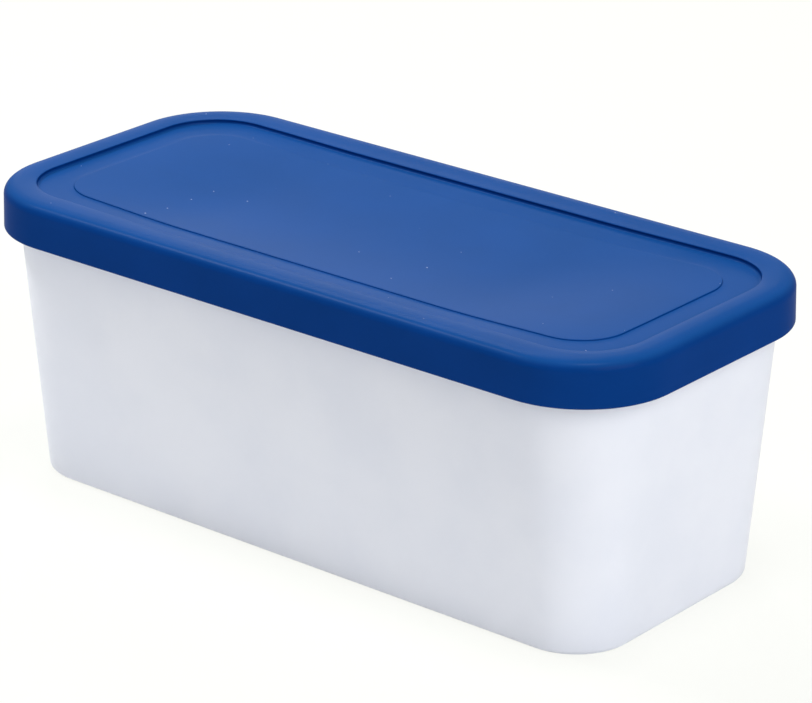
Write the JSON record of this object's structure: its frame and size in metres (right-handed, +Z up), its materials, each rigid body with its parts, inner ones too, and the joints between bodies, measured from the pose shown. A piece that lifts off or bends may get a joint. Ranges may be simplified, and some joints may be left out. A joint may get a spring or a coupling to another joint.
{
  "type": "ice cream storage box",
  "caption": "Slim rectangular storage box for ice cream: a deep white tub with tapering walls, shut by a soft blue lid with a rounded rim and a sunken panel.",
  "frame": {"origin": "the middle of the footprint, on the surface that the box stands on", "axes": "+X runs along the box, +Y runs across it and +Z is up"},
  "size_m": [0.24, 0.1114, 0.0922],
  "materials": {
    "tub": "satin moulded plastic, milky white",
    "lid": "soft satin silicone, blue"
  },
  "bodies": {
    "root": {"tub": "tub", "lid": "lid"}
  },
  "joints": []
}
